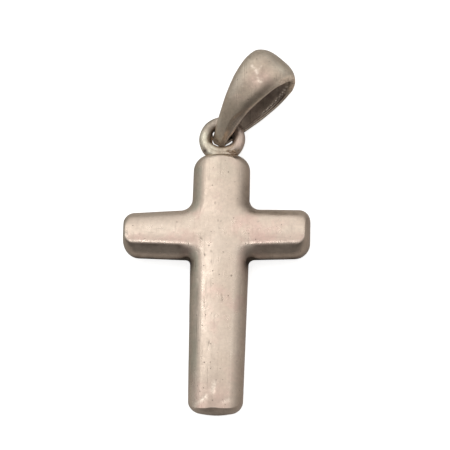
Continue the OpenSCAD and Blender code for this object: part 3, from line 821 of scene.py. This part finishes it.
def strap(b, t, line, normal):
    """The strap round the inside line, and the places on it that its marks follow. Each point of the
    section stands off the line by its thickness along the outward normal. The front leaf is wider on
    the right beside the wire, and a facet is filed off there: a straight run down from a ridge to the
    rim, hollowed by a sine. Inside the right rim of the back leaf the thickness grows by a lip, and
    towards the crown by a flare. The tip is widened on the left and filed back on the right, and the
    rim at the crown's right stands further in. All of them fade in and out as eases."""
    x = ((1 - np.cos(t)) / 2)[:, None]
    across, height, w = strap_sections(b, x)
    section = even_sections(across, height, SECTION_POINTS)[:, ::-1]
    aside, thick = section[..., 0], section[..., 1]
    s, height_at = aside / w, np.sin(t)[:, None]
    aside = aside + b.flange * ease(-0.1, 0.2, height_at) * ease(0.52, 0.12, x) * np.clip(s, 0, 1)
    aside = aside + b.tip_wider * ease(0.06, 0.0, x) * np.clip(s, -1, 0)
    front = ease(-0.05, 0.1, height_at)
    half_hollow = b.hollow * 0.5 * (b.crown_t - b.crown_rim_t)
    outer = ease(0.15, 0.32, thick - half_hollow * (1 - np.abs(s) ** 3))
    inner = 1 - outer
    ridge = 0.42 + 0.15 * ease(0.28, 0.08, x) + 0.31 * ease(0.3, 0.5, x)
    reach = front * ease(0.0, 0.03, x) * ease(0.52, 0.36, x) * outer
    lip = inner * (1 - front) * ease(0.2, 0.45, x)
    rim, top = strap_heights(b, x)
    rim_height = thick / rim
    down = np.clip((s - ridge) / (INNER_EDGE - ridge), 0, 1)
    facet = rim + (top - rim) * (1 - ridge ** b.dome_power) * (1 - down) - b.groove * np.sin(np.pi * down)
    thick = thick - reach * ease(0, 0.05, s - ridge) * np.maximum(thick - facet, 0)
    thick = thick + lip * (b.lip * ease(0.72, 0.78, s) * ease(1.0, 0.9, s) * ease(0.9, 0.8, x)
                           + b.flare * ease(0.82, 1.02, s) * ease(0.8, 0.88, x))
    thick = thick - b.tip_blunt * outer * ease(-0.5, 0.3, s) * ease(0.05, 0.0, x)
    thick = thick - b.crown_band * inner * ease(0.7, 0.92, s) * ease(0.78, 1.0, x)
    places = SimpleNamespace(
        x=x, s=s, front=front, outer=outer, inner=inner, ridge=ridge, reach=reach, lip=lip,
        rim_height=rim_height,
        groove=reach * ease(0, 0.14, s - ridge) * (1 - ease(0.86, 0.98, s)),
        rough_patch=reach * ease(0.2, 0.27, x) * ease(0, 0.1, s - ridge),
        filed=inner * (1 - front) * bell(s, 0.69, 0.08) * ease(0.42, 0.52, x) * ease(0.95, 0.85, x))
    out = line[:, None] + normal[:, None] * thick[..., None]
    return np.concatenate([aside[..., None], out], -1), places


def bail_marks(grid, p, sparkle):
    """Tarnish and painted shade, wear and painted highlights, rosiness, film and painted light, and
    mattness of the bail, between 0 and 1, from the places p on the strap: p.x is the share of the
    length from the hook end and p.s the place across, from -1 to 1."""
    x, s, outer, lip = p.x, p.s, p.outer, p.lip
    # Partly tarnish, partly painted shade: the dome darkens towards its right rim
    right_flank_tarnish_and_shade = ease(0.4 + 0.2 * ease(0.56, 0.44, x), 0.78, s) * (1 - 0.85 * ease(0.83, 0.96, s)) \
        * p.front * ease(0.99, 0.8, x)
    middle = bell(s, 0.1, 0.3) * ease(0.55, 0.7, x)
    on_ridge = p.reach * bell(s, p.ridge + 0.03, 0.035) * ease(0.03, 0.1, x)
    tarnish = outer * (0.04 + 0.5 * right_flank_tarnish_and_shade * (1 - 0.75 * p.groove) + 0.1 * p.groove + 0.25 * on_ridge
                       + 0.08 * ease(0.4, 0.05, x) + 0.17 * middle)
    crown_lip = ease(0.8, 0.9, x) * ease(0.78, 0.85, s)
    low_line = bell(s, 0.79, 0.022) * ease(0.75, 0.6, x)
    lip_light = np.maximum(crown_lip, 0.75 * np.maximum(low_line, bell(s, 0.94, 0.03)))
    # Painted shade inside the bail, partly tarnish, lighter on the lip
    in_shade = 0.9 + 0.03 * bell(x, 0.58, 0.08) - 0.3 * ease(0.75, 0.97, x)
    tarnish += p.inner * in_shade * (1 - lip * lip_light)
    tarnish += 0.3 * lip * bell(s, 0.865, 0.03) * ease(0.85, 0.75, x)
    rim_side = bell(np.abs(s), 1, 0.045)
    seam = rim_side * bell(p.rim_height, 0.55, 0.16) * (1 - p.front)
    tarnish = tarnish * (1 - 0.7 * rim_side) + 0.8 * seam

    pink = bell(grid, PINK_SPOT, PINK_SIZE).prod(-1)
    # Painted light: the crown's rim loses its tarnish and takes bare metal, partly edge wear
    crown_rim_wear_and_light = ease(0.84, 0.94, x) * ease(0.84, 0.93, s)
    tarnish = (tarnish + 0.1 * outer * pink) * (1 - 0.95 * crown_rim_wear_and_light)
    at_tip, beside_tip = outer * ease(0.04, 0.0, x), outer * ease(0.16, 0.05, x) * ease(0.1, 0.5, s)
    on_ridge_line = p.reach * bell(s, p.ridge, 0.05) * ease(0.05, 0.12, x)
    # Painted light on the left of the dome, laid as bare metal
    lit_left_of_dome = outer * bell(s, -0.5, 0.3) * ease(0.42, 0.55, x) * ease(0.85, 0.7, x)
    file_marks = np.sin(21 * grid[..., 0] + 4) * np.sin(17 * grid[..., 1] + 9 * grid[..., 2])
    # Partly real edge wear, partly painted highlight: the bright rim line, the nicks' glints, the glints on
    # the file marks and the lit lip
    wear = 0.45 * rim_side + line_marks(grid, NICKS_AND_PAINTED_GLINTS) + 0.25 * on_ridge_line \
        + 1.1 * p.filed * ease(0.1, 0.5, sparkle) + 0.4 * lip * np.maximum(lip_light, 1.6 * crown_lip) \
        + 0.35 * p.rough_patch * ease(0.1, 0.6, file_marks) + 0.8 * crown_rim_wear_and_light + 0.26 * lit_left_of_dome \
        + 0.4 * at_tip
    # Painted light: the film, lighter than the bail's silver, lies mostly on the bail's left, by the hook end
    # and at the crown
    film = 0.15 + 0.75 * ease(0.1, -0.7, s) + 0.3 * ease(0.4, 0.1, x) + 0.6 * ease(0.16, 0.06, x) \
        + ease(0.9, 0.99, x)
    film = outer * np.clip(film, 0, 1) * (1 - 0.6 * p.groove * ease(0.06, 0.16, x)) * (1 - 0.9 * pink)
    matte = np.maximum(0.8 * at_tip, 0.5 * beside_tip)
    matte = np.maximum(matte, p.inner * lip * np.maximum(0.4 * lip_light, crown_lip))
    return {"tarnish": tarnish, "wear": wear, "rosy": 1.3 * outer * pink, "film": film,
            "matte": np.maximum(matte, 0.9 * crown_rim_wear_and_light)}


def bail_surface(r, b):
    """The strap, rolled, tilted until its lowest point meets the table, turned and hung on the wire.
    Soft waves and file marks, products of sines, then push it in along its normals."""
    along, ring_r, at = fit_of_ring(r, b)
    t, step = around(BAIL_STATIONS), np.radians(1)
    d = unit(inside_line(b, t + step) - inside_line(b, t - step))
    normal = np.stack([-d[:, 1], d[:, 0]], 1)
    local, places = strap(b, t, inside_line(b, t), normal)
    rolled = turned(local - [b.wire_side, along, -b.wire_low], 0, 2, b.roll)
    mid = values("pendant_cross").thick / 2

    def lowest(tilt):
        lift = rolled[..., 1] * math.sin(tilt) + rolled[..., 2] * math.cos(tilt)
        return mid + lift.min() - OVER_TABLE
    grid = turned(turned(rolled, 1, 2, halve(lowest, 0, STEEPEST_TILT)), 0, 1, -b.yaw)
    grid += at + ring_r * np.array([math.sin(b.yaw), math.cos(b.yaw), 0])
    normals = grid_normals(grid, True)
    x, y, z = grid[..., 0], grid[..., 1], grid[..., 2]
    grid -= normals * (BAIL_WAVE * (1 + np.sin(2.1 * x + 1.3 * y) * np.sin(1.7 * y - 1.2 * z)))[..., None]
    sparkle = np.sin(23 * x + 7 * y) * np.sin(19 * y - 11 * z + 2)
    grid -= normals * (b.rough * sparkle * np.maximum(places.filed, 0.6 * places.rough_patch))[..., None]
    faces = tube_faces(BAIL_STATIONS, SECTION_POINTS, closed=True)
    return grid.reshape(-1, 3), faces, bail_marks(grid, places, sparkle)


# Finishes


def wire_up(tree, node, inputs):
    """Set a node's inputs; each is a value or another node's output socket."""
    for key, value in inputs.items():
        if isinstance(value, bpy.types.NodeSocket):
            tree.links.new(value, node.inputs[key])
        else:
            node.inputs[key].default_value = value


def add(tree, kind, inputs=None, **settings):
    """A node of a kind with its settings and inputs."""
    made = tree.nodes.new(kind)
    for key, value in settings.items():
        setattr(made, key, value)
    wire_up(tree, made, inputs or {})
    return made


def sums(tree, operation, a, b=None, c=None, clamp=False):
    """One Math node's output."""
    inputs = {k: v for k, v in enumerate((a, b, c)) if v is not None}
    return add(tree, "ShaderNodeMath", inputs, operation=operation, use_clamp=clamp).outputs[0]


def noise(tree, vector, scale, detail=2.0, rough=0.5):
    """One Noise node's value, scale being features per metre."""
    inputs = {"Vector": vector, "Scale": scale, "Detail": detail, "Roughness": rough}
    return add(tree, "ShaderNodeTexNoise", inputs).outputs[0]


def between(tree, value, low, high, to_low=0.0, to_high=1.0):
    """A value's smooth share of the way from low to high."""
    inputs = {"Value": value, "From Min": low, "From Max": high, "To Min": to_low, "To Max": to_high}
    return add(tree, "ShaderNodeMapRange", inputs, interpolation_type="SMOOTHSTEP").outputs[0]


def blended(tree, part, a, b, blend="MIX"):
    """Colour a mixed with colour b."""
    return add(tree, "ShaderNodeMix", {0: part, 6: a, 7: b}, data_type="RGBA", blend_type=blend).outputs[2]


def attribute(tree, name):
    """One of the mesh's own point attributes."""
    return add(tree, "ShaderNodeAttribute", attribute_name=name).outputs["Fac"]


def new_group(name, ins, outs):
    """An empty node group with named sockets, and its input and output nodes."""
    tree = bpy.data.node_groups.new(name, "ShaderNodeTree")
    for direction, sockets in (("INPUT", ins), ("OUTPUT", outs)):
        for kind, labels in sockets.items():
            for label in labels:
                tree.interface.new_socket(label, in_out=direction, socket_type="NodeSocket" + kind)
    return tree, tree.nodes.new("NodeGroupInput").outputs, tree.nodes.new("NodeGroupOutput")


def patina_and_shading_group():
    """Colour of worn silver: broad drifts between two tints, a rosy bloom and a film over them, fine
    mottling, blotched brown tarnish with painted shade that ends in soot and painted deep shade, and
    bare metal on wear and on painted highlights."""
    tree, i, out = new_group(
        "Silver patina",
        {"Vector": ["Vector"], "Color": ["Clean", "Warm", "Rosy", "Film", "Tarnished", "Soot", "Bare"],
         "Float": ["Tarnish", "Wear", "Rosiness", "Filming", "Mottle", "Bloom"]},
        {"Color": ["Color"], "Float": ["Dullness", "Bareness"]})
    drift = between(tree, noise(tree, i["Vector"], 210, 3), 0.36, 0.66)
    tint = blended(tree, drift, i["Clean"], i["Warm"])
    apart = {0: i["Vector"], 1: (0.0131, 0.0077, 0.0042)}
    shifted = add(tree, "ShaderNodeVectorMath", apart, operation="ADD").outputs[0]
    cloud = noise(tree, shifted, 330, 4, 0.6)
    bloom = sums(tree, "MULTIPLY", between(tree, cloud, 0.5, 0.72), i["Bloom"])
    rosy_cloud = between(tree, cloud, 0.3, 0.6, 0.35, 1.0)
    bloom = sums(tree, "MULTIPLY_ADD", i["Rosiness"], rosy_cloud, bloom, clamp=True)
    tint = blended(tree, bloom, tint, i["Rosy"])
    film_cloud = between(tree, noise(tree, shifted, 650, 4, 0.6), 0.3, 0.62, 0.3, 1.0)
    tint = blended(tree, sums(tree, "MULTIPLY", i["Filming"], film_cloud, clamp=True), tint, i["Film"])
    level = between(tree, noise(tree, i["Vector"], 3300, 5, 0.65), 0.25, 0.78, 0.86, 1.1)
    mottle = sums(tree, "MULTIPLY", sums(tree, "SUBTRACT", level, 1.0), i["Mottle"])
    level = sums(tree, "ADD", mottle, 1.0)
    grey = add(tree, "ShaderNodeCombineColor", {0: level, 1: level, 2: level}).outputs[0]
    tint = blended(tree, 1.0, tint, grey, "MULTIPLY")
    patch = between(tree, noise(tree, shifted, 900, 4, 0.6), 0.3, 0.7, 0.72, 1.18)
    dull = sums(tree, "MULTIPLY", i["Tarnish"], patch, clamp=True)
    tint = blended(tree, dull, tint, i["Tarnished"])
    # Painted deep shade: past 0.8 the tarnish-and-shade value turns to soot
    tint = blended(tree, between(tree, i["Tarnish"], 0.8, 1.0), tint, i["Soot"])
    # Bare metal, here also painted as glints, highlight lines and lit rims
    broken = between(tree, noise(tree, i["Vector"], 5200, 3, 0.6), 0.36, 0.62, 0.35, 1.0)
    bare = sums(tree, "MULTIPLY", i["Wear"], broken, clamp=True)
    tint = blended(tree, bare, tint, i["Bare"])
    wire_up(tree, out, {"Color": tint, "Dullness": dull, "Bareness": bare})
    return tree


def scattered_pits(tree, vector, scale, least, most, rare_from, rare_to, floor):
    """Round pits in a few of a pattern's cells: their radius runs from least to most by the cell's
    colour, and only cells past the rare share have one. A pit is deepest within the floor's share of
    its radius."""
    cells = add(tree, "ShaderNodeTexVoronoi", {"Vector": vector, "Scale": scale})
    picked = add(tree, "ShaderNodeSeparateColor", {0: cells.outputs["Color"]})
    radius = between(tree, picked.outputs[1], 0.0, 1.0, least, most)
    near = sums(tree, "DIVIDE", cells.outputs["Distance"], radius)
    rare = between(tree, picked.outputs[0], rare_from, rare_to)
    return sums(tree, "MULTIPLY", between(tree, near, 1.0, floor), rare)


def handling_group():
    """Height of the small marks of wear: satin grain, scattered pits and crossing scratches."""
    tree, i, out = new_group(
        "Handling marks", {"Vector": ["Vector"], "Float": ["Pits", "Scratches", "Grain"]},
        {"Float": ["Height", "Pit mask"]})
    small = scattered_pits(tree, i["Vector"], 3600.0, 0.08, 0.26, 0.75, 0.8, 0.35)
    large = scattered_pits(tree, i["Vector"], 1500.0, 0.07, 0.16, 0.84, 0.9, 0.4)
    pit = sums(tree, "MULTIPLY", sums(tree, "MAXIMUM", small, large), i["Pits"])
    lines = 0.0
    for turn, thin in ((0.5, 5200.0), (1.9, 7000.0), (2.75, 6000.0)):
        across = {"Vector": i["Vector"], "Rotation": (0, 0, turn), "Scale": (thin, thin / 16, thin / 16)}
        streaks = noise(tree, add(tree, "ShaderNodeMapping", across).outputs[0], 1.0, 1.0)
        lines = sums(tree, "ADD", lines, between(tree, streaks, 0.66, 0.74))
    lines = sums(tree, "MULTIPLY", lines, i["Scratches"])
    grain = sums(tree, "MULTIPLY", noise(tree, i["Vector"], 7500, 3, 0.6), i["Grain"])
    height = sums(tree, "SUBTRACT", grain, sums(tree, "ADD", pit, lines))
    wire_up(tree, out, {"Height": height, "Pit mask": pit})
    return tree


def silver(name, clean, warm, film, worn, crust=False, rougher=0.0):
    """A worn silver: the patina's colour with its painted shade and highlights, and the handling marks'
    height on a metal shader. Clean, warm and film name colours of the look, and worn gives how much
    of each mark it has."""
    look = values("pendant_silver")
    material = bpy.data.materials.new(name)
    material.use_nodes = True
    tree = material.node_tree
    metal = tree.nodes["Principled BSDF"]
    place = add(tree, "ShaderNodeTexCoord").outputs["Object"]
    groups = bpy.data.node_groups
    tints = {"Clean": clean, "Warm": warm, "Rosy": "rosy", "Film": film, "Tarnished": "tarnish",
             "Soot": "soot", "Bare": "bright"}
    inputs = {"Vector": place, **{label: (*getattr(look, tint), 1.0) for label, tint in tints.items()},
              **{key: worn[key] for key in ("Mottle", "Bloom")}}
    for label, key in (("Tarnish", "tarnish"), ("Wear", "wear"), ("Rosiness", "rosy"), ("Filming", "film")):
        inputs[label] = attribute(tree, key)
    patina = add(tree, "ShaderNodeGroup", node_tree=groups.get("Silver patina") or patina_and_shading_group())
    marks = add(tree, "ShaderNodeGroup", node_tree=groups.get("Handling marks") or handling_group())
    wire_up(tree, patina, inputs)
    wire_up(tree, marks, {"Vector": place, **{key: worn[key] for key in ("Pits", "Scratches", "Grain")}})
    pit = sums(tree, "MULTIPLY", marks.outputs["Pit mask"], 0.6)
    tint = blended(tree, pit, patina.outputs["Color"], (*look.tarnish, 1.0))
    if crust:
        cover = between(tree, noise(tree, place, 2600, 3), 0.3, 0.6, 0.35, 1.0)
        brown = sums(tree, "MULTIPLY", attribute(tree, "crust"), cover, clamp=True)
        tint = blended(tree, brown, tint, (*look.solder, 1.0))
    base = look.roughness + rougher
    satin = between(tree, noise(tree, place, 1400, 3), 0.3, 0.7, base - 0.03, base + 0.05)
    for mark, rougher_by in ((patina.outputs["Dullness"], 0.12), (patina.outputs["Bareness"], -0.1),
                             (attribute(tree, "matte"), 0.55)):
        satin = sums(tree, "MULTIPLY_ADD", mark, rougher_by, satin)
    relief = {"Strength": 1.0, "Distance": 0.000022, "Height": marks.outputs["Height"]}
    bump = add(tree, "ShaderNodeBump", relief).outputs[0]
    wire_up(tree, metal, {"Base Color": tint, "Roughness": satin, "Normal": bump, "Metallic": 1.0})
    return material


# Operators, one for each piece and one for the stage


class PENDANT_OT_cross(bpy.types.Operator):
    """Make the pillow-shaped cross in worn satin silver"""
    bl_idname = "pendant.cross"
    bl_label = "Cross"

    def execute(self, context):
        worn = {"Mottle": 0.65, "Bloom": 0.75, "Pits": 1.0, "Scratches": 0.35, "Grain": 0.5}
        finish = silver("Worn satin silver", "clean", "warm", "film", worn)
        piece = make_piece("cross_body", *cross_surface(values("pendant_cross")), finish)
        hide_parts("cross_with_ring")
        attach(piece, "root")
        return {"FINISHED"}


class PENDANT_OT_ring(bpy.types.Operator):
    """Make the wire ring with its solder"""
    bl_idname = "pendant.ring"
    bl_label = "Ring and solder"

    def execute(self, context):
        worn = {"Mottle": 1.2, "Bloom": 0.5, "Pits": 0.8, "Scratches": 0.3, "Grain": 0.8}
        finish = silver("Soldered silver", "clean", "bail_warm", "ring_film", worn, crust=True)
        surface = ring_surface(values("pendant_ring"), values("pendant_bail"))
        piece = make_piece("soldered_ring", *surface, finish)
        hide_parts("cross_with_ring")
        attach(piece, "root")
        return {"FINISHED"}


class PENDANT_OT_bail(bpy.types.Operator):
    """Make the teardrop bail that hangs in the ring"""
    bl_idname = "pendant.bail"
    bl_label = "Bail"

    def execute(self, context):
        worn = {"Mottle": 1.0, "Bloom": 0.6, "Pits": 0.7, "Scratches": 0.5, "Grain": 0.6}
        finish = silver("Tarnished bail silver", "bail_clean", "bail_warm", "bail_film", worn, rougher=0.02)
        surface = bail_surface(values("pendant_ring"), values("pendant_bail"))
        piece = make_piece("teardrop_bail", *surface, finish)
        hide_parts("bail")
        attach(piece, "root")
        return {"FINISHED"}


# Where the crossing stands in the picture, in pixels from its left and top
PICTURE, CROSSING_X, CROSSING_Y = 450, 220.058, 234.91
SENSOR = 36.0
# Distance of the lamps from the crossing, in metres
LAMP_FAR = 0.5
FLOOR_RADIUS, FLOOR_STEPS, FLOOR_RINGS, FLOOR_DROP = 1500, 96, (0.05, 0.3, 1.0), 0.01


def soft_light(name, towards, distance, size, power):
    """A square soft box in the given direction from the crossing, facing it. Sizes are in metres."""
    lamp = bpy.data.lights.new(name, "AREA")
    lamp.shape, lamp.size, lamp.energy = "SQUARE", size, power
    holder = bpy.data.objects.new(name, lamp)
    direction = Vector(towards).normalized()
    holder.location = direction * distance
    holder.rotation_euler = direction.to_track_quat("Z", "Y").to_euler()
    bpy.context.scene.collection.objects.link(holder)


def emptied(owner):
    """The node tree of a world or a material, with nothing in it."""
    owner.use_nodes = True
    owner.node_tree.nodes.clear()
    return owner.node_tree


def seen_or_lit(tree, lit, seen, output):
    """Join one shader for the light and the metal and another for the camera to the tree's output."""
    by_camera = add(tree, "ShaderNodeLightPath").outputs["Is Camera Ray"]
    mixed = add(tree, "ShaderNodeMixShader", {0: by_camera, 1: lit.outputs[0], 2: seen.outputs[0]})
    add(tree, output, {"Surface": mixed.outputs[0]})


def studio_air():
    """World light: bright overhead, falling to a dim horizon, dimmer still on the foot's side and a
    little brighter on the right; the camera itself sees plain white past the edge of the floor."""
    world = bpy.data.worlds.new("Studio air")
    tree = emptied(world)
    way = add(tree, "ShaderNodeTexCoord").outputs["Generated"]
    to_right, to_top, up = add(tree, "ShaderNodeSeparateXYZ", {0: way}).outputs
    up = sums(tree, "MAXIMUM", up, 0.0)
    lean = sums(tree, "MULTIPLY", to_top, sums(tree, "MULTIPLY_ADD", up, 0.42, 0.2))
    side = sums(tree, "MULTIPLY", sums(tree, "MULTIPLY", to_right, up), 0.1)
    level = sums(tree, "ADD", sums(tree, "MULTIPLY_ADD", up, 0.42, 0.34), lean)
    level = sums(tree, "MAXIMUM", sums(tree, "ADD", level, side), 0.06)
    glow = add(tree, "ShaderNodeBackground", {"Color": (1.0, 0.985, 0.96, 1.0), "Strength": level})
    white = add(tree, "ShaderNodeBackground", {"Color": (1.0, 1.0, 1.0, 1.0), "Strength": 1.0})
    seen_or_lit(tree, glow, white, "ShaderNodeOutputWorld")
    bpy.context.scene.world = world


def pale_floor(tint):
    """Finish of the floor: seen by the camera it is nearly white with a faint shadow, and to the metal
    it is a soft grey."""
    material = bpy.data.materials.new("Plain pale floor")
    tree = emptied(material)
    paper = add(tree, "ShaderNodeBsdfDiffuse", {"Color": (0.58, 0.555, 0.53, 1.0)})
    shade = add(tree, "ShaderNodeBsdfDiffuse", {"Color": (*tint, 1.0)})
    glow = add(tree, "ShaderNodeEmission", {"Color": (*tint, 1.0), "Strength": 0.8})
    both = add(tree, "ShaderNodeAddShader", {0: shade.outputs[0], 1: glow.outputs[0]})
    seen_or_lit(tree, paper, both, "ShaderNodeOutputMaterial")
    return material


def disc():
    """Points and upward faces of the floor: rings of one circle, just under the table's height, drawn
    to a point in the middle."""
    turn = around(FLOOR_STEPS)
    rim = np.stack([FLOOR_RADIUS * np.cos(turn), FLOOR_RADIUS * np.sin(turn), 0 * turn - FLOOR_DROP], 1)
    points = np.concatenate([rim * [s, s, 1] for s in FLOOR_RINGS] + [[[0, 0, -FLOOR_DROP]]])
    faces = tube_faces(len(FLOOR_RINGS), FLOOR_STEPS) + fan_faces(0, FLOOR_STEPS, len(points) - 1, False)
    return points, [face[::-1] for face in faces]


class PENDANT_OT_stage(bpy.types.Operator):
    """Lay the pale floor and set the soft lights and the camera"""
    bl_idname = "pendant.stage"
    bl_label = "Stage"

    def execute(self, context):
        look = values("pendant_stage")
        floor = make_piece("pale_floor", *disc(), {}, pale_floor(look.floor))
        studio_air()
        soft_light("Key over the left shoulder", (-0.31, 0.25, 0.92), LAMP_FAR, 0.1, look.key)
        soft_light("Second light over the foot", (-0.14, -0.3, 0.945), LAMP_FAR, 0.08, look.second)

        flat = math.cos(look.elevation)
        back = np.array([math.sin(look.azimuth) * flat, -math.cos(look.azimuth) * flat,
                         math.sin(look.elevation)])
        up = unit(np.array([0, 1, 0]) - back * back[1])
        right = np.cross(up, back)
        c, s = math.cos(look.roll), math.sin(look.roll)
        right, up = right * c + up * s, up * c - right * s
        target = np.array([0, 0, values("pendant_cross").thick / 2])
        lens = bpy.data.cameras.new("Camera")
        lens.sensor_width, lens.sensor_fit = SENSOR, "HORIZONTAL"
        lens.lens = SENSOR * look.distance / look.pixel / PICTURE
        lens.shift_x = (PICTURE / 2 - CROSSING_X) / PICTURE
        lens.shift_y = (CROSSING_Y - PICTURE / 2) / PICTURE
        lens.clip_start, lens.clip_end = 0.01, 10.0
        camera = bpy.data.objects.new("Camera", lens)
        place = Matrix.Identity(4)
        for k, axis in enumerate((right, up, back, (target + back * look.distance) / 1000)):
            for row in range(3):
                place[row][k] = float(axis[row])
        camera.matrix_world = place
        context.scene.collection.objects.link(camera)
        context.scene.camera = camera
        context.scene.view_settings.view_transform = "Standard"
        return {"FINISHED"}


OPERATORS = [PENDANT_OT_stage, PENDANT_OT_cross, PENDANT_OT_ring, PENDANT_OT_bail]


class PENDANT_PT_pieces(bpy.types.Panel):
    """Lists the operators that make the pendant, and the sizes and looks that they read"""
    bl_idname = "PENDANT_PT_pieces"
    bl_label = "Silver cross pendant"
    bl_space_type = "VIEW_3D"
    bl_region_type = "UI"
    bl_category = "Pendant"

    def draw(self, context):
        for operator in OPERATORS:
            self.layout.operator(operator.bl_idname)
        for name, group in GROUPS.items():
            box = self.layout.box()
            own = getattr(context.scene, name)
            for key in group.__annotations__:
                box.prop(own, key)


def register():
    """Register the classes, and give the scene its groups of sizes and looks."""
    for cls in (*GROUPS.values(), *OPERATORS, PENDANT_PT_pieces):
        bpy.utils.register_class(cls)
    for name, group in GROUPS.items():
        setattr(bpy.types.Scene, name, bpy.props.PointerProperty(type=group))


def unregister():
    """Take the groups off the scene and unregister the classes."""
    for name in GROUPS:
        delattr(bpy.types.Scene, name)
    for cls in (PENDANT_PT_pieces, *reversed(OPERATORS), *reversed(list(GROUPS.values()))):
        bpy.utils.unregister_class(cls)


def main():
    register()
    bpy.ops.pendant.stage()
    bpy.ops.pendant.cross()
    bpy.ops.pendant.ring()
    bpy.ops.pendant.bail()


if __name__ == "__main__":
    main()
